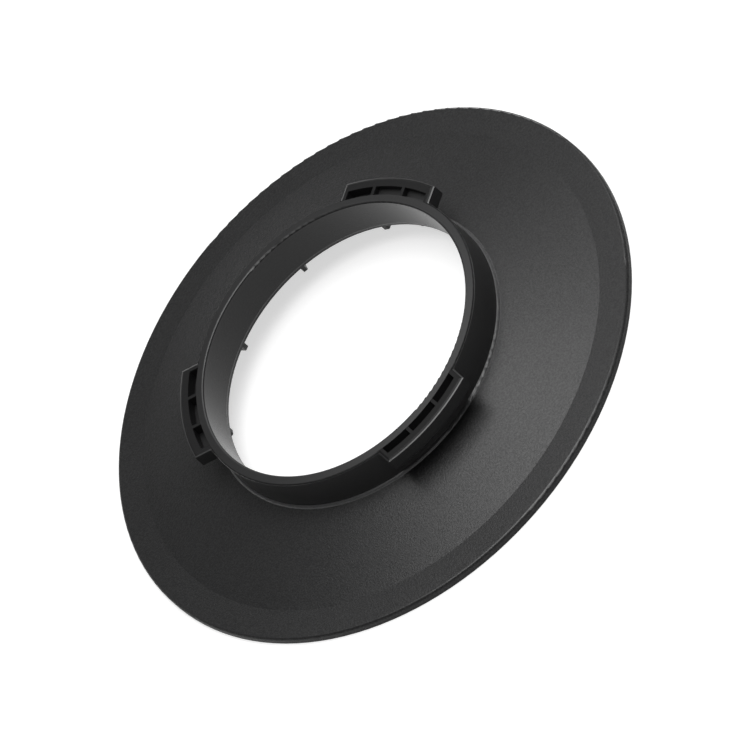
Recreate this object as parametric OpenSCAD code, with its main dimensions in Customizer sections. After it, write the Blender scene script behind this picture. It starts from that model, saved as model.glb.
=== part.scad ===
// Bayonet flange ring: a shallow conical dish with a cored three-lug collar.
// The bore's axis is Z, the mount side faces +Z, and the rim lip rests on Z = 0.

/* [Dish] */
// Outside diameter of the dish
dish_d = 245; // [235:1:260]
// Height of the upright rim edge
rim_h = 3.3; // [3:0.1:4.2]
// Width of the nearly flat band inside the rim
band_w = 12.9; // [9:0.1:18]
// Slope of the band in degrees
band_slope = 4; // [2:0.5:5]
// Slope of the cone in degrees
cone_slope = 13.75; // [12:0.25:15]
// Wall thickness of the band and the cone
dish_wall = 2; // [1.6:0.1:2.4]
// Radial thickness of the lip under the rim
rim_lip_w = 2.2; // [1.6:0.1:3]
// Rounding of the rim's upper edge
rim_round = 1.2; // [0.5:0.1:1.6]

/* [Hub] */
// Bore through the hub and the collar
bore_d = 125.6; // [124:0.1:127]
// Thickness of the hub under the collar's foot
hub_t = 1.6; // [1.4:0.1:1.9]
// Height of the collar's seat above the top of the cone
seat_rise = 0.45; // [0.2:0.05:0.6]
// Radius of the quarter-round lip that centres the collar's foot
locating_lip_w = 1.3; // [1:0.1:1.5]
// Height of the locating lip above the seat
locating_lip_h = 0.6; // [0.3:0.1:0.8]

/* [Rear ribs] */
// Number of radial ribs behind the dish
rib_count = 10; // [6:2:12]
// Angle of the first rib in degrees
rib_start = 6; // [0:1:35]
// Thickness of a rib
rib_t = 1.8; // [1:0.1:2.2]
// Depth of a rib at the hub
rib_depth = 4; // [2.5:0.1:5]
// Distance from the bore to a rib's inner end
rib_setback = 0.6; // [0.3:0.1:1.5]
// Radius at which a rib's lower edge ends
rib_end_r = 104; // [90:1:106]

/* [Collar] */
// Height of the collar above its seat
collar_h = 17.3; // [14:0.1:20]
// Outside diameter of the collar at its mouth
collar_mouth_d = 134.2; // [133:0.1:134.4]
// Outside diameter of the collar at its foot
collar_foot_d = 134.4; // [134.2:0.1:135]
// Outward slope of the mouth's face in degrees
mouth_slope = 7; // [4:0.5:8]
// Rounding of the mouth's inner edge
mouth_inner_round = 0.8; // [0.4:0.1:1.2]
// Rounding of the mouth's outer edge
mouth_outer_round = 0.6; // [0.5:0.1:1]

/* [Lugs] */
// Number of bayonet lugs
lug_count = 3; // [3:1:4]
// Angle of the first lug in degrees
lug_start = 30; // [0:1:119]
// Diameter over the lugs
lug_tip_d = 149.2; // [147:0.1:152]
// Width of a lug between its parallel ends
lug_w = 45.5; // [38:0.5:50]
// Thickness of a lug along the axis
lug_t = 6.6; // [6.2:0.1:8]
// Distance from the collar's mouth down to a lug's front
lug_drop = 0.6; // [0.6:0.1:0.9]
// Width of the lead-in chamfer round a lug's front
lead_in_w = 1.3; // [0.6:0.1:1.4]
// Height of the lead-in chamfer
lead_in_h = 0.6; // [0.4:0.1:0.8]
// Rounding of a lug's rear edge
lug_rear_round = 0.4; // [0.2:0.1:0.6]
// Fillet between a lug's end and the collar
lug_fillet = 1.6; // [1:0.1:2.2]

/* [Lug pockets] */
// Depth of the pockets in a lug
pocket_depth = 4.8; // [4:0.1:5.2]
// Depth of the pockets where the first lug is left thick
shallow_depth = 2.7; // [1.2:0.1:3]
// Wall between the bore and the pockets
pocket_inner_wall = 3.6; // [3.4:0.1:4]
// Thickness of a lug's outer wall
lug_outer_wall = 4.2; // [3:0.1:5]
// Thickness of a lug's end walls
lug_end_wall = 2.6; // [1.8:0.05:4]
// Thickness of the webs between the pockets
web_t = 1.45; // [1:0.05:2]
// Distance from a lug's middle to the middle of a web
web_offset = 7.5; // [6:0.05:9]

/* [Screws] */
// Number of screws that hold the collar
screw_count = 5; // [5:5:10]
// Angle of the first screw in degrees
screw_start = 24; // [24:36:60]
// Shank diameter of a screw
screw_d = 2.2; // [2:0.1:2.3]
// Head diameter of a screw
screw_head_d = 4; // [3.6:0.1:4]
// Overall length of a screw
screw_len = 9.5; // [8:0.5:12]
// Length of a screw's pointed end
screw_tip = 1.4; // [1:0.1:2]

/* [Hidden] */
$fn = 180;

// Overlap that makes two solids of one node run into each other
bite = 0.8;
// Reach of a cut past the face that it opens
past = 1;

rim_r = dish_d / 2;
bore_r = bore_d / 2;
collar_foot_r = collar_foot_d / 2;
collar_mouth_r = collar_mouth_d / 2;
lug_tip_r = lug_tip_d / 2;

// Radial places on the dish
band_r = rim_r - band_w;
foot_gap = 0.1;
lip_in_r = collar_foot_r + foot_gap;
lip_out_r = lip_in_r + locating_lip_w;

// Radial places on a lug
pocket_in_r = bore_r + pocket_inner_wall;
pocket_out_r = lug_tip_r - lug_outer_wall;

// Heights on the dish
band_z = rim_h + band_w * tan(band_slope);
cone_top_z = band_z + (band_r - lip_out_r) * tan(cone_slope);
seat_z = cone_top_z + seat_rise;
hub_rear_z = seat_z - hub_t;
mouth_z = seat_z + collar_h;
mouth_edge_z = mouth_z - (collar_mouth_r - bore_r) * tan(mouth_slope);
lug_front_z = mouth_z - lug_drop;
lug_rear_z = lug_front_z - lug_t;

// Heights of the dish's rear face under the band and under the cone
function band_rear_z(r) = band_z - (r - band_r) * tan(band_slope) - dish_wall / cos(band_slope);
function cone_rear_z(r) = band_z + (band_r - r) * tan(cone_slope) - dish_wall / cos(cone_slope);

// Radii where those faces meet each other and the flat rear of the hub
rear_crease_r = band_r - dish_wall * (1 / cos(band_slope) - 1 / cos(cone_slope))
    / (tan(band_slope) - tan(cone_slope));
hub_flat_r = band_r - (hub_rear_z - band_z + dish_wall / cos(cone_slope)) / tan(cone_slope);

// Taper of the collar's outer wall
collar_draft = atan((collar_foot_r - collar_mouth_r) / (mouth_edge_z - seat_z));

// Screws stand in the middle of the collar's wall
screw_r = (bore_r + collar_foot_r) / 2 + 0.2;
screw_play = 0.05;
head_play = 0.2;
head_edge_h = 0.2;
head_cone_h = (screw_head_d - screw_d) / 2;

function polar(r, a) = [r * cos(a), r * sin(a)];

// Rounds a corner of an outline: everything past the circle goes, between two angles
module round_corner(centre, r, from_a, to_a) {
    reach = 3 * r;
    mid_a = (from_a + to_a) / 2;
    translate(centre)
        difference() {
            polygon([[0, 0], polar(reach, from_a), polar(2 * reach, mid_a), polar(reach, to_a)]);
            circle(r);
        }
}

// Repeats a child evenly round the bore
module ring_of(count, start) {
    for (i = [0 : count - 1])
        rotate(start + i * 360 / count)
            children();
}

// ---------- Dish ----------

module dish_outline() {
    difference() {
        polygon([
            [rim_r, 0],
            [rim_r, rim_h],
            [band_r, band_z],
            [lip_out_r, cone_top_z],
            [lip_in_r, seat_z],
            [bore_r, seat_z],
            [bore_r, hub_rear_z],
            [hub_flat_r, hub_rear_z],
            [rear_crease_r, cone_rear_z(rear_crease_r)],
            [rim_r - rim_lip_w, band_rear_z(rim_r - rim_lip_w)],
            [rim_r - rim_lip_w, 0]
        ]);
        round_corner(
            [rim_r - rim_round, rim_h + rim_round * (tan(band_slope) - 1 / cos(band_slope))],
            rim_round, 0, 90 - band_slope);
    }
}

// Quarter-round upstand that centres the collar's foot
module locating_lip_outline() {
    low_z = seat_z - hub_t / 2;
    intersection() {
        translate([lip_in_r, seat_z + locating_lip_h - locating_lip_w])
            circle(locating_lip_w);
        translate([lip_in_r, low_z])
            square([locating_lip_w, seat_z + locating_lip_h - low_z]);
    }
}

// A rib is deepest at the hub and runs out under the cone
module rear_rib() {
    in_r = bore_r + rib_setback;
    out_r = rib_end_r + 2;
    low_z = hub_rear_z - rib_depth;
    nose = 1;
    rotate([90, 0, 0])
        linear_extrude(rib_t, center = true)
            difference() {
                polygon([
                    [in_r, hub_rear_z + bite],
                    [in_r, low_z],
                    [rib_end_r, cone_rear_z(rib_end_r) - rib_depth / 4],
                    [out_r, cone_rear_z(out_r) + bite]
                ]);
                round_corner([in_r + nose, low_z + nose], nose, 180, 270);
            }
}

// Countersunk hole, open to the rear, that lets a screw head sit flush with the hub
module screw_seat() {
    translate([screw_r, 0, hub_rear_z]) {
        cylinder(h = hub_t + past, d = screw_d + 2 * head_play);
        cylinder(h = head_edge_h, d = screw_head_d);
        translate([0, 0, head_edge_h])
            cylinder(h = head_cone_h, d1 = screw_head_d, d2 = screw_d);
        translate([0, 0, -past])
            cylinder(h = past, d = screw_head_d + 2 * head_play);
    }
}

module dish_shell() {
    color([0.17, 0.17, 0.175])
        difference() {
            union() {
                rotate_extrude()
                    union() {
                        dish_outline();
                        locating_lip_outline();
                    }
                ring_of(rib_count, rib_start)
                    rear_rib();
            }
            ring_of(screw_count, screw_start)
                screw_seat();
        }
}

// ---------- Collar ----------

// Wall of the collar; its mouth's face falls outwards
module collar_outline() {
    // Centre of the outer rounding, which touches both the sloping face and the tapered wall
    face_z = mouth_z - mouth_outer_round / cos(mouth_slope);
    wall_r = collar_foot_r - mouth_outer_round / cos(collar_draft);
    outer_x = (wall_r - tan(collar_draft) * (face_z - seat_z + bore_r * tan(mouth_slope)))
        / (1 - tan(mouth_slope) * tan(collar_draft));
    outer_z = face_z - (outer_x - bore_r) * tan(mouth_slope);
    inner_z = mouth_z - mouth_inner_round * (tan(mouth_slope) + 1 / cos(mouth_slope));
    difference() {
        polygon([
            [bore_r, seat_z],
            [collar_foot_r, seat_z],
            [collar_mouth_r, mouth_edge_z],
            [bore_r, mouth_z]
        ]);
        round_corner([bore_r + mouth_inner_round, inner_z], mouth_inner_round,
            90 - mouth_slope, 180);
        round_corner([outer_x, outer_z], mouth_outer_round, collar_draft, 90 - mouth_slope);
    }
}

// Section of the ring that the lugs are cut from
module lug_ring_outline() {
    in_r = bore_r + mouth_inner_round + past;
    difference() {
        polygon([
            [in_r, lug_rear_z],
            [lug_tip_r, lug_rear_z],
            [lug_tip_r, lug_front_z - lead_in_h],
            [lug_tip_r - lead_in_w, lug_front_z],
            [in_r, lug_front_z]
        ]);
        round_corner([lug_tip_r - lug_rear_round, lug_rear_z + lug_rear_round], lug_rear_round,
            270, 360);
    }
}

// Front view of a lug: parallel ends with a lead-in chamfer
module lug_front_outline() {
    half_w = lug_w / 2;
    polygon([
        [-half_w, lug_rear_z],
        [half_w, lug_rear_z],
        [half_w, lug_front_z - lead_in_h],
        [half_w - lead_in_w, lug_front_z],
        [lead_in_w - half_w, lug_front_z],
        [-half_w, lug_front_z - lead_in_h]
    ]);
}

// Turns a front view into a solid that crosses the collar's wall at +X
module across_wall() {
    inner_x = bore_r * cos(45);
    translate([inner_x, 0, 0])
        rotate([90, 0, 90])
            linear_extrude(lug_tip_r + past - inner_x)
                children();
}

// Concave corner between the collar's wall and a lug's end, which stands on one side (1 or -1)
module end_fillet(side) {
    half_w = lug_w / 2;
    centre_y = half_w + lug_fillet;
    centre_x = sqrt(pow(collar_mouth_r + lug_fillet, 2) - pow(centre_y, 2));
    wall_share = collar_mouth_r / (collar_mouth_r + lug_fillet);
    translate([0, 0, lug_rear_z + lug_rear_round])
        linear_extrude(lug_front_z - lead_in_h - lug_rear_z - lug_rear_round)
            difference() {
                polygon([
                    [centre_x, side * half_w],
                    [centre_x, side * (half_w - bite)],
                    [centre_x * wall_share - bite, side * (half_w - bite)],
                    [centre_x * wall_share - bite, side * centre_y * wall_share],
                    [centre_x * wall_share, side * centre_y * wall_share]
                ]);
                translate([centre_x, side * centre_y])
                    circle(lug_fillet);
            }
}

module lug_blank() {
    intersection() {
        rotate_extrude()
            lug_ring_outline();
        across_wall()
            lug_front_outline();
    }
    for (side = [-1, 1])
        end_fillet(side);
}

// Cut at +X between two radii and two distances from a lug's middle, open to the mount side
module front_cut(from_r, to_r, from_y, to_y, floor_z) {
    cut_h = mouth_z + past - floor_z;
    intersection() {
        rotate_extrude()
            translate([from_r, floor_z])
                square([to_r - from_r, cut_h]);
        across_wall()
            translate([from_y, floor_z])
                square([to_y - from_y, cut_h]);
    }
}

// Step that leaves a lug's front a little lower than the collar's mouth
module lug_step() {
    front_cut(pocket_in_r, lug_tip_r + past, -lug_w / 2, lug_w / 2, lug_front_z);
}

module lug_pocket(from_y, to_y, depth) {
    front_cut(pocket_in_r, pocket_out_r, from_y, to_y, lug_front_z - depth);
}

// Three pockets with a thin web between each two
module lug_pockets(last_depth, other_depth) {
    end_y = lug_w / 2 - lug_end_wall;
    inner_y = web_offset - web_t / 2;
    outer_y = web_offset + web_t / 2;
    lug_pocket(-end_y, -outer_y, other_depth);
    lug_pocket(-inner_y, inner_y, other_depth);
    lug_pocket(outer_y, end_y, last_depth);
}

// Blind hole in the collar's foot that a screw cuts its thread in
module pilot_hole() {
    translate([screw_r, 0, seat_z - past])
        cylinder(h = screw_len - hub_t + 2 * past, r = screw_d / 2 + screw_play);
}

module bayonet_collar() {
    color([0.14, 0.14, 0.145])
        difference() {
            union() {
                rotate_extrude()
                    collar_outline();
                ring_of(lug_count, lug_start)
                    lug_blank();
            }
            ring_of(lug_count, lug_start)
                lug_step();
            rotate(lug_start)
                lug_pockets(pocket_depth, shallow_depth);
            for (i = [1 : lug_count - 1])
                rotate(lug_start + i * 360 / lug_count)
                    lug_pockets(pocket_depth, pocket_depth);
            ring_of(screw_count, screw_start)
                pilot_hole();
        }
}

// ---------- Screws ----------

module screw() {
    shank_z = head_edge_h + head_cone_h;
    tip_z = screw_len - screw_tip;
    recess_w = 0.6;
    recess_len = 2.2;
    recess_h = 0.7;
    difference() {
        union() {
            cylinder(h = head_edge_h, d = screw_head_d);
            translate([0, 0, head_edge_h])
                cylinder(h = head_cone_h, d1 = screw_head_d, d2 = screw_d);
            translate([0, 0, shank_z])
                cylinder(h = tip_z - shank_z, d = screw_d);
            translate([0, 0, tip_z])
                cylinder(h = screw_tip, d1 = screw_d, d2 = screw_d / 4);
        }
        for (turn = [0, 90])
            rotate(turn)
                translate([-recess_len / 2, -recess_w / 2, -past])
                    cube([recess_len, recess_w, recess_h + past]);
    }
}

module collar_screws() {
    color([0.25, 0.25, 0.26])
        ring_of(screw_count, screw_start)
            translate([screw_r, 0, hub_rear_z])
                screw();
}

dish_shell();
bayonet_collar();
collar_screws();
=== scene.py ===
import math

import bpy
from mathutils import Matrix, Vector


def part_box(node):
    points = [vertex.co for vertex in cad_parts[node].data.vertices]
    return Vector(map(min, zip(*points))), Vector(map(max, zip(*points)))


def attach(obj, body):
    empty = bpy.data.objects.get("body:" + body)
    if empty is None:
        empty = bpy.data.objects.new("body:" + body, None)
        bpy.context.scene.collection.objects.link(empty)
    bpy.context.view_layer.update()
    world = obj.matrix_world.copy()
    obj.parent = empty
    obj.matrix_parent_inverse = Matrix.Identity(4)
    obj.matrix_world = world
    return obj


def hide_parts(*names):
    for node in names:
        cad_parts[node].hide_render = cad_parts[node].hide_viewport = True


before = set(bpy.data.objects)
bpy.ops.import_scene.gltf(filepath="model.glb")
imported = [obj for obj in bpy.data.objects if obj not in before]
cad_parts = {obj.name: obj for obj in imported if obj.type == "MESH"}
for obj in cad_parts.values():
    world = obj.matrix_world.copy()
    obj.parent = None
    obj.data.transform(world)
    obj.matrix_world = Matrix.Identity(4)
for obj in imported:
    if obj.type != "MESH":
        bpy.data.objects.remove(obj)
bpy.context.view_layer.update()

MM = 0.001


# ---------- Camera ----------

# Height of the camera above the horizon, in degrees
CAMERA_ELEVATION = 43.35
# Clockwise roll of the camera about its own axis, in degrees
CAMERA_ROLL = 48.64
# Width of what the camera sees
VIEW_WIDTH = 0.3019
# Point that the camera looks at
VIEW_CENTRE = Vector((0, 0, 1.5 * MM))
# Distance of the camera from that point
CAMERA_DISTANCE = 1.5
# Distances between which the camera sees
CLIP_START = 0.01
CLIP_END = 20


def add_camera():
    """Looks along +Y from above through a parallel lens, rolled clockwise."""
    elevation = math.radians(CAMERA_ELEVATION)
    roll = math.radians(CAMERA_ROLL)
    level_right = Vector((1, 0, 0))
    level_up = Vector((0, math.sin(elevation), math.cos(elevation)))
    back = Vector((0, -math.cos(elevation), math.sin(elevation)))
    right = math.cos(roll) * level_right - math.sin(roll) * level_up
    up = math.sin(roll) * level_right + math.cos(roll) * level_up
    data = bpy.data.cameras.new("camera")
    data.type = "ORTHO"
    data.ortho_scale = VIEW_WIDTH
    data.clip_start = CLIP_START
    data.clip_end = CLIP_END
    camera = bpy.data.objects.new("camera", data)
    turn = Matrix((right, up, back)).transposed().to_4x4()
    camera.matrix_world = Matrix.Translation(VIEW_CENTRE + back * CAMERA_DISTANCE) @ turn
    bpy.context.scene.collection.objects.link(camera)
    bpy.context.scene.camera = camera


# ---------- Node helpers ----------

class Field:
    """A node's output, so that sums of fields read as plain Python."""

    def __init__(self, graph, socket):
        self.graph = graph
        self.socket = socket

    def ramp(self, low, high):
        """Runs smoothly from 0 where the field is `low` to 1 where it is `high`."""
        return self.graph.node(
            "ShaderNodeMapRange",
            {"Value": self, "From Min": low, "From Max": high, "To Min": 0.0, "To Max": 1.0},
            interpolation_type="SMOOTHSTEP")

    def __add__(self, other):
        return self.graph.math("ADD", self, other)

    def __sub__(self, other):
        return self.graph.math("SUBTRACT", self, other)

    def __rsub__(self, other):
        return self.graph.math("SUBTRACT", other, self)

    def __mul__(self, other):
        return self.graph.math("MULTIPLY", self, other)

    def __truediv__(self, other):
        return self.graph.math("DIVIDE", self, other)


class Graph:
    """A node tree, and the one way in which nodes are added to it."""

    def __init__(self, tree):
        self.tree = tree
        tree.nodes.clear()

    def node(self, kind, sockets=None, output=0, **settings):
        """Adds a node: its settings first, then the values or links of its sockets."""
        made = self.tree.nodes.new(kind)
        for name, value in settings.items():
            setattr(made, name, value)
        for name, value in (sockets or {}).items():
            self.feed(made.inputs[name], value)
        return Field(self, made.outputs[output])

    def feed(self, socket, value):
        """Links a field to a socket, each field of a list, or sets a plain value."""
        if isinstance(value, Field):
            self.tree.links.new(value.socket, socket)
        elif isinstance(value, list):
            for field in value:
                self.tree.links.new(field.socket, socket)
        else:
            socket.default_value = value

    def math(self, operation, first, second):
        return self.node("ShaderNodeMath", {0: first, 1: second}, operation=operation)


class Paint(Graph):
    """A material."""

    def __init__(self, name):
        self.material = bpy.data.materials.new(name)
        self.material.use_nodes = True
        super().__init__(self.material.node_tree)

    def place(self):
        """Where a point lies on the part."""
        return self.node("ShaderNodeTexCoord", output="Object")

    def height(self):
        """Distance above the plane that the rim rests on."""
        return self.node("ShaderNodeSeparateXYZ", {"Vector": self.place()}, output="Z")

    def radius(self):
        """Distance from the bore's axis."""
        flat = self.node(
            "ShaderNodeVectorMath", {0: self.place(), 1: (1, 1, 0)}, operation="MULTIPLY")
        return self.node("ShaderNodeVectorMath", {0: flat}, output="Value", operation="LENGTH")

    def noise(self, size, detail, roughness=0.5):
        """Smooth random field from 0 to 1 whose patches are about `size` across."""
        return self.node("ShaderNodeTexNoise", {
            "Vector": self.place(), "Scale": 1 / size, "Detail": detail, "Roughness": roughness})

    def mixed(self, share, first, second):
        """Colour that runs from the first to the second as the share goes from 0 to 1."""
        # Numbers, because a mix has these sockets once for each type of value
        return self.node(
            "ShaderNodeMix", {"Factor": share, 6: first, 7: second}, output=2, data_type="RGBA")

    def bumps(self, field, depth):
        """Normals of a face that rises by `depth` where the field goes from 0 to 1."""
        return self.node("ShaderNodeBump", {"Strength": 1.0, "Distance": depth, "Height": field})

    def surface(self, shader):
        """Ends the tree and returns the material."""
        end = self.tree.nodes.new("ShaderNodeOutputMaterial")
        self.feed(end.inputs["Surface"], shader)
        return self.material


class Former(Graph):
    """A Geometry Nodes tree whose sizes are named inputs."""

    def __init__(self, name, sizes):
        super().__init__(bpy.data.node_groups.new(name, "GeometryNodeTree"))
        self.name = name
        self.values = {}
        for size, value in sizes.items():
            kind = "NodeSocketInt" if isinstance(value, int) else "NodeSocketFloat"
            socket = self.tree.interface.new_socket(size, in_out="INPUT", socket_type=kind)
            self.values[socket.identifier] = value
        self.tree.interface.new_socket(
            "Geometry", in_out="OUTPUT", socket_type="NodeSocketGeometry")
        self.start = self.tree.nodes.new("NodeGroupInput")

    def size(self, name):
        """One of the named inputs."""
        return Field(self, self.start.outputs[name])

    def vector(self, x=0.0, y=0.0, z=0.0):
        return self.node("ShaderNodeCombineXYZ", {"X": x, "Y": y, "Z": z})

    def joined(self, *parts):
        return self.node("GeometryNodeJoinGeometry", {"Geometry": list(parts)})

    def moved(self, part, **change):
        """The part after a translation, a rotation or both."""
        sockets = {name.title(): value for name, value in change.items()}
        return self.node("GeometryNodeTransform", {"Geometry": part, **sockets})

    def piece(self, geometry, material):
        """Ends the tree, bakes it into a plain mesh and returns the object that holds it."""
        real = self.node("GeometryNodeRealizeInstances", {"Geometry": geometry})
        painted = self.node("GeometryNodeSetMaterial", {"Geometry": real, "Material": material})
        end = self.tree.nodes.new("NodeGroupOutput")
        self.feed(end.inputs["Geometry"], painted)
        piece = bpy.data.objects.new(self.name, bpy.data.meshes.new(self.name))
        bpy.context.scene.collection.objects.link(piece)
        modifier = piece.modifiers.new("former", "NODES")
        modifier.node_group = self.tree
        for identifier, value in self.values.items():
            modifier[identifier] = value
        graph = bpy.context.evaluated_depsgraph_get()
        mesh = bpy.data.meshes.new_from_object(piece.evaluated_get(graph))
        piece.modifiers.remove(modifier)
        piece.data = mesh
        return piece


# ---------- Finishes ----------

# Zones of the dish. A zone's mask goes from 0 to 1 between the two radii or heights of
# a line, in millimetres. A zone with several lines is where their masks overlap.
DISH_ZONES = {
    # Flat outer band
    "band": (("radius", 109.4, 109.8),),
    # Upright side of the rim
    "side": (("radius", 122.0, 122.3),),
    # Rounding between the band and the side
    "crest": (("radius", 121.35, 121.55), ("radius", 122.0, 121.8)),
    # Lip round the collar's foot
    "lip": (("radius", 68.8, 68.6), ("height", 14.1, 14.3)),
    # Inside of the hub
    "hub": (("radius", 64.7, 64.5),),
}
# How much each zone or pattern adds to the dish's shade, coat and roughness
DISH_SHADE = {"everywhere": 0.5, "clouds": 0.3, "flecks": 0.36}
DISH_COAT = {
    "everywhere": 0.5, "flecks": 0.3, "crest": 0.5, "lip": 0.5, "band": -0.06, "side": -0.4,
    "hub": -0.5}
DISH_ROUGHNESS = {"everywhere": 0.38, "clouds": 0.08, "side": 0.2, "crest": -0.1, "lip": -0.15}
DISH_COAT_ROUGHNESS = 0.38
DISH_GRAIN_SIZE = 0.8 * MM
DISH_GRAIN_DEPTH = 0.2 * MM

# Zones of the collar
COLLAR_ZONES = {
    "bore": (("radius", 63.1, 62.85),),
    # Ring that faces forward round the bore
    "mouth": (("radius", 66.6, 66.4), ("height", 29.885, 30.885)),
    # Rounding between the bore and the mouth
    "brim": (("radius", 62.85, 62.95), ("radius", 63.7, 63.5)),
    # Chamfer round a lug's front
    "chamfer": (("height", 30.785, 30.845), ("height", 31.085, 30.985), ("radius", 66.4, 66.6)),
    # Front face of a lug
    "front": (("radius", 66.4, 66.6), ("height", 30.985, 31.085)),
    # Whatever stands out from the collar's wall
    "block": (("radius", 67.6, 68.0),),
}
# How much each zone or pattern adds to the collar's shade, coat and roughness
# In the colour, clouds and grain are random tone and the lug fronts are set darker. The darkening
# of the bore and of the lugs is painted shade, inside the bore and in the lugs' pockets and end
# faces
COLLAR_TONE_AND_PAINTED_SHADE = {
    "everywhere": 0.5, "clouds": 0.4, "grain": 0.6, "front": -0.5, "block": -0.2, "bore": -0.4}
COLLAR_COAT = {"coated": 0.5, "coated_block": -0.3, "mouth": 0.05, "chamfer": 0.9, "brim": 0.4}
COLLAR_ROUGHNESS = {
    "everywhere": 0.45, "clouds": 0.08, "bore": -0.18, "chamfer": -0.15, "front": 0.06}
COLLAR_COAT_ROUGHNESS = 0.4
COLLAR_GRAIN_SIZE = 0.9 * MM
COLLAR_GRAIN_DEPTH = 0.04 * MM

# Size of the faint clouds in both plastics
CLOUD_SIZE = 40 * MM
# Middle of a pattern that runs from 0 to 1
MIDDLE = 0.5
# Values of the grain between which a fleck goes from dull to bright
FLECK_RAMP = (0.3, 0.7)
# Colours between which the plastics' shade runs
DARKER_BLACK = (0.006, 0.006, 0.00624, 1)
LIGHTER_BLACK = (0.018, 0.018, 0.01848, 1)
# Lighter colour of the lip round the collar's foot: a painted highlight
LIP_PAINTED_HIGHLIGHT = (0.04, 0.04, 0.041, 1)
PLASTIC_SPECULAR = 0.25
# Colours between which the screws' mottle runs
DARKER_ZINC = (0.03, 0.03, 0.033, 1)
LIGHTER_ZINC = (0.07, 0.07, 0.075, 1)


def zone_masks(paint, zones):
    """Named fields that are 1 inside a zone and 0 outside it."""
    measures = {"radius": paint.radius(), "height": paint.height()}
    masks = {"everywhere": 1.0}
    for name, lines in zones.items():
        mask, *others = [
            measures[measure].ramp(low * MM, high * MM) for measure, low, high in lines]
        for other in others:
            mask = mask * other
        masks[name] = mask
    return masks


def summed(amounts, fields):
    """Adds up the named fields, each times its amount."""
    total = 0.0
    for name, amount in amounts.items():
        total = fields[name] * amount + total
    return total


def grained_plastic():
    """Black moulding with a fine spark-eroded grain, a matt rim, and a glossier lip at the hub
    whose colour is painted lighter as a highlight.
    """
    paint = Paint("grained_black_plastic")
    grain = paint.noise(DISH_GRAIN_SIZE, detail=2, roughness=0.7)
    fields = zone_masks(paint, DISH_ZONES)
    fields["clouds"] = paint.noise(CLOUD_SIZE, detail=3) - MIDDLE
    fields["flecks"] = grain.ramp(*FLECK_RAMP) - MIDDLE
    black = paint.mixed(summed(DISH_SHADE, fields), DARKER_BLACK, LIGHTER_BLACK)
    return paint.surface(paint.node("ShaderNodeBsdfPrincipled", {
        # The lip takes a lighter colour, a painted highlight
        "Base Color": paint.mixed(fields["lip"], black, LIP_PAINTED_HIGHLIGHT),
        "Roughness": summed(DISH_ROUGHNESS, fields),
        "Specular IOR Level": PLASTIC_SPECULAR,
        "Coat Weight": summed(DISH_COAT, fields),
        "Coat Roughness": DISH_COAT_ROUGHNESS,
        "Normal": paint.bumps(grain, DISH_GRAIN_DEPTH),
    }))


def collar_plastic():
    """Smoother black moulding: dull lug fronts and bore, a shinier mouth and rubbed chamfers, with
    shade painted into the colour of the bore and of the lugs.
    """
    paint = Paint("smooth_black_plastic")
    grain = paint.noise(COLLAR_GRAIN_SIZE, detail=2, roughness=0.6)
    fields = zone_masks(paint, COLLAR_ZONES)
    fields["clouds"] = paint.noise(CLOUD_SIZE, detail=3) - MIDDLE
    fields["grain"] = grain - MIDDLE
    fields["coated"] = (1 - fields["bore"]) * (1 - fields["front"])
    fields["coated_block"] = fields["coated"] * fields["block"]
    return paint.surface(paint.node("ShaderNodeBsdfPrincipled", {
        # Colour painted darker in the bore and over the lugs as painted shade
        "Base Color": paint.mixed(summed(COLLAR_TONE_AND_PAINTED_SHADE, fields), DARKER_BLACK, LIGHTER_BLACK),
        "Roughness": summed(COLLAR_ROUGHNESS, fields),
        "Specular IOR Level": PLASTIC_SPECULAR,
        "Coat Weight": summed(COLLAR_COAT, fields),
        "Coat Roughness": COLLAR_COAT_ROUGHNESS,
        "Normal": paint.bumps(grain, COLLAR_GRAIN_DEPTH),
    }))


def blacked_steel():
    """Black zinc plating with a slight mottle."""
    paint = Paint("black_zinc_steel")
    mottle = paint.noise(0.6 * MM, detail=3)
    return paint.surface(paint.node("ShaderNodeBsdfPrincipled", {
        "Base Color": paint.mixed(mottle, DARKER_ZINC, LIGHTER_ZINC),
        "Metallic": 0.85,
        "Roughness": mottle * 0.2 + 0.25,
    }))


def dress(node, material):
    """Gives a CAD node its finish."""
    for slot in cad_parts[node].material_slots:
        slot.material = material


# ---------- Screws ----------

# Points round a screw's body and along it
SCREW_SIDES = 32
SCREW_STEPS = 96
# Points in one turn of a thread, and corners of its section
THREAD_STEPS = 20
RIDGE_CORNERS = 3
SCREW_COUNT = 5
# Angle of the first screw from +X, in degrees
FIRST_SCREW_ANGLE = 24
# Seed of the angles at which the screws came to rest when driven
DRIVE_SEED = 7
HEAD_RADIUS = 2 * MM
CORE_RADIUS = 0.8 * MM
TIP_RADIUS = 0.2 * MM
TIP_LENGTH = 1.4 * MM


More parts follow.
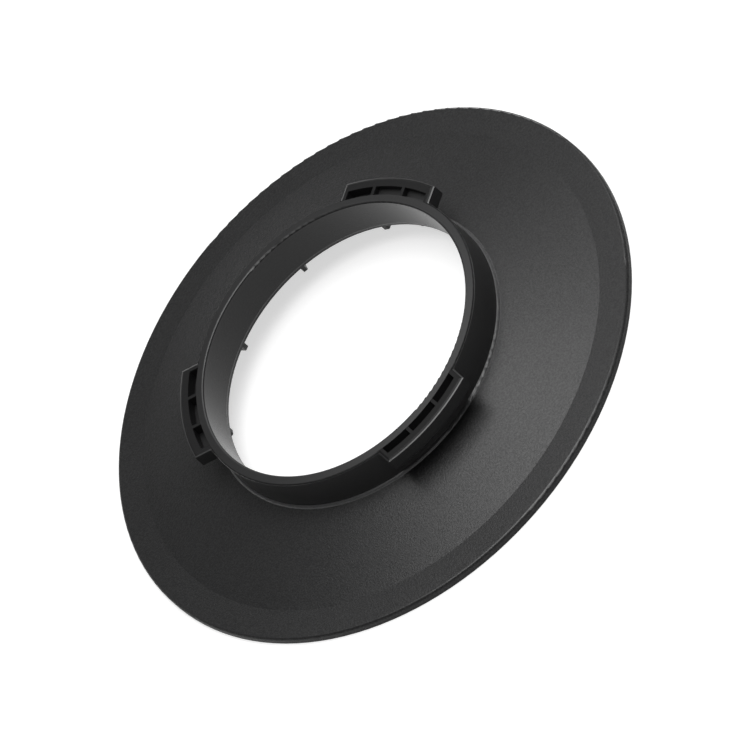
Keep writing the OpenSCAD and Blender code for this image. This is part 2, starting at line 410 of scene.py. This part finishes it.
def screw_body(former):
    """Countersunk head, thin core and pointed end, with a cross recess in the head."""
    length = former.size("Length")
    line = former.node("GeometryNodeCurvePrimitiveLine", {"End": former.vector(z=length)})
    line = former.node("GeometryNodeResampleCurve", {"Curve": line, "Count": SCREW_STEPS})
    place = former.node("GeometryNodeInputPosition")
    height = former.node("ShaderNodeSeparateXYZ", {"Vector": place}, output="Z")
    core = former.size("Core Radius")
    sunk = former.math("MAXIMUM", height - former.size("Head Edge"), 0.0)
    head = former.size("Head Radius") - sunk
    point = (length - height) * former.size("Tip Slope") + former.size("Tip Radius")
    radius = former.math("MINIMUM", former.math("MAXIMUM", head, core), point)
    ring = former.node(
        "GeometryNodeCurvePrimitiveCircle", {"Resolution": SCREW_SIDES, "Radius": 1.0})
    body = former.node("GeometryNodeCurveToMesh", {
        "Curve": line, "Profile Curve": ring, "Scale": radius, "Fill Caps": True})
    # Twice the depth, because half of the block stands outside the head
    slot_size = former.vector(
        former.size("Recess Length"), former.size("Recess Width"), former.size("Recess Depth") * 2)
    slot = former.node("GeometryNodeMeshCube", {"Size": slot_size})
    crossing = former.moved(slot, rotation=(0, 0, math.pi / 2))
    return former.node(
        "GeometryNodeMeshBoolean", {"Mesh 1": body, "Mesh 2": [slot, crossing]},
        operation="DIFFERENCE", solver="MANIFOLD")


def screw_thread(former):
    """Sharp ridge that winds round the core from the head to the pointed end."""
    start = former.size("Thread Start")
    reach = former.size("Length") - former.size("Tip Length") - start
    spiral = former.node("GeometryNodeCurveSpiral", {
        "Resolution": THREAD_STEPS, "Rotations": reach / former.size("Pitch"),
        "Start Radius": former.size("Core Radius"), "End Radius": former.size("Core Radius"),
        "Height": reach})
    spiral = former.node("GeometryNodeSetCurveNormal", {"Curve": spiral}, mode="Z_UP")
    ridge = former.node("GeometryNodeCurvePrimitiveCircle", {
        "Resolution": RIDGE_CORNERS, "Radius": former.size("Ridge Height")})
    # Half a turn brings the sharp corner of the section to the outside
    ridge = former.moved(ridge, rotation=(0, 0, math.pi))
    thread = former.node("GeometryNodeCurveToMesh", {
        "Curve": spiral, "Profile Curve": ridge, "Fill Caps": True})
    return former.moved(thread, translation=former.vector(z=start))


def thread_forming_screws(material):
    """Ring of small screws, their heads flush with the rear of the hub."""
    low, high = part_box("collar_screws")
    places = [vertex.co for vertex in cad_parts["collar_screws"].data.vertices]
    former = Former("thread_forming_screws", {
        "Count": SCREW_COUNT,
        "Ring Radius": max(place.xy.length for place in places) - HEAD_RADIUS,
        "First Angle": math.radians(FIRST_SCREW_ANGLE),
        "Rear Height": low.z,
        "Length": high.z - low.z,
        "Head Radius": HEAD_RADIUS,
        "Head Edge": 0.2 * MM,
        "Core Radius": CORE_RADIUS,
        "Tip Radius": TIP_RADIUS,
        "Tip Length": TIP_LENGTH,
        "Tip Slope": (CORE_RADIUS - TIP_RADIUS) / TIP_LENGTH,
        "Thread Start": 1.9 * MM,
        "Pitch": 0.8 * MM,
        "Ridge Height": 0.3 * MM,
        "Recess Length": 2.2 * MM,
        "Recess Width": 0.6 * MM,
        "Recess Depth": 0.8 * MM,
    })
    screw = former.joined(screw_body(former), screw_thread(former))
    ring = former.node("GeometryNodeMeshCircle", {
        "Vertices": former.size("Count"), "Radius": former.size("Ring Radius")})
    ring = former.moved(
        ring,
        translation=former.vector(z=former.size("Rear Height")),
        rotation=former.vector(z=former.size("First Angle")))
    # Numbers, because a random value has these sockets once for each type of value
    turn = former.node(
        "FunctionNodeRandomValue", {2: 0.0, 3: math.pi / 2, "Seed": DRIVE_SEED}, output=1,
        data_type="FLOAT")
    screws = former.node("GeometryNodeInstanceOnPoints", {
        "Points": ring, "Instance": screw, "Rotation": former.vector(z=turn)})
    piece = former.piece(screws, material)
    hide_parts("collar_screws")
    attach(piece, "root")


# ---------- Studio ----------

# Radius of the floor, and points round its edge
FLOOR_RADIUS = 4
FLOOR_SIDES = 64
# Height of the floor, just clear of the rim that stands on it
FLOOR_HEIGHT = -0.05 * MM
FLOOR_COLOUR = (0.6, 0.6, 0.6, 1)
# Light that the floor adds of its own to what the camera and reflections see
FLOOR_GLOW = 0.6
WORLD_STRENGTH = 0.19
# Distance of every soft box from the middle of the ring
BOX_DISTANCE = 1.2
# Soft boxes: name, azimuth and height above the horizon in degrees, width, and power in watts
SOFT_BOXES = (
    ("top_box", 345, 79, 1.15, 12.2),
    ("back_box", 55, 63, 1.0, 1.7),
    ("side_box", 36, 40, 0.8, 0.8),
    ("low_back_box", 80, 38, 0.55, 0.14),
    ("front_box", 270, 45, 0.55, 0.6),
)


def pale_floor():
    """White sweep that shows as white, keeps a soft shadow and can be seen through from below."""
    paint = Paint("pale_floor")
    sight = paint.node("ShaderNodeLightPath", output="Is Camera Ray")
    shine = paint.node("ShaderNodeLightPath", output="Is Glossy Ray")
    through = paint.node("ShaderNodeLightPath", output="Is Transmission Ray")
    seen = sight + shine + through
    diffuse = paint.node("ShaderNodeBsdfDiffuse", {"Color": FLOOR_COLOUR})
    glow = paint.node("ShaderNodeEmission", {"Strength": seen * FLOOR_GLOW})
    sweep = paint.node("ShaderNodeAddShader", {0: diffuse, 1: glow})
    below = paint.node("ShaderNodeNewGeometry", output="Backfacing")
    clear = paint.node("ShaderNodeBsdfTransparent")
    return paint.surface(paint.node("ShaderNodeMixShader", {0: below, 1: sweep, 2: clear}))


def add_floor():
    """Wide disc under the ring."""
    mesh = bpy.data.meshes.new("floor")
    corners = []
    for i in range(FLOOR_SIDES):
        angle = 2 * math.pi * i / FLOOR_SIDES
        corners.append((
            FLOOR_RADIUS * math.cos(angle),
            FLOOR_RADIUS * math.sin(angle),
            FLOOR_HEIGHT))
    mesh.from_pydata(corners, [], [tuple(range(FLOOR_SIDES))])
    floor = bpy.data.objects.new("floor", mesh)
    bpy.context.scene.collection.objects.link(floor)
    mesh.materials.append(pale_floor())


def add_world():
    """Even white light from all sides."""
    world = bpy.data.worlds.new("studio")
    world.use_nodes = True
    background = world.node_tree.nodes["Background"]
    background.inputs["Color"].default_value = (1, 1, 1, 1)
    background.inputs["Strength"].default_value = WORLD_STRENGTH
    bpy.context.scene.world = world


def add_soft_box(name, azimuth, elevation, width, power):
    """Round soft box that faces the ring. Azimuth 0 stands over +X and 90 over +Y."""
    turn = math.radians(azimuth)
    rise = math.radians(elevation)
    way = Vector((
        math.cos(turn) * math.cos(rise),
        math.sin(turn) * math.cos(rise),
        math.sin(rise)))
    data = bpy.data.lights.new(name, "AREA")
    data.shape = "DISK"
    data.size = width
    data.energy = power
    box = bpy.data.objects.new(name, data)
    box.location = way * BOX_DISTANCE
    box.rotation_mode = "QUATERNION"
    box.rotation_quaternion = way.to_track_quat("Z", "Y")
    bpy.context.scene.collection.objects.link(box)


bpy.context.scene.view_settings.view_transform = "Standard"
add_camera()
add_floor()
add_world()
for soft_box in SOFT_BOXES:
    add_soft_box(*soft_box)
dress("dish_shell", grained_plastic())
dress("bayonet_collar", collar_plastic())
thread_forming_screws(blacked_steel())
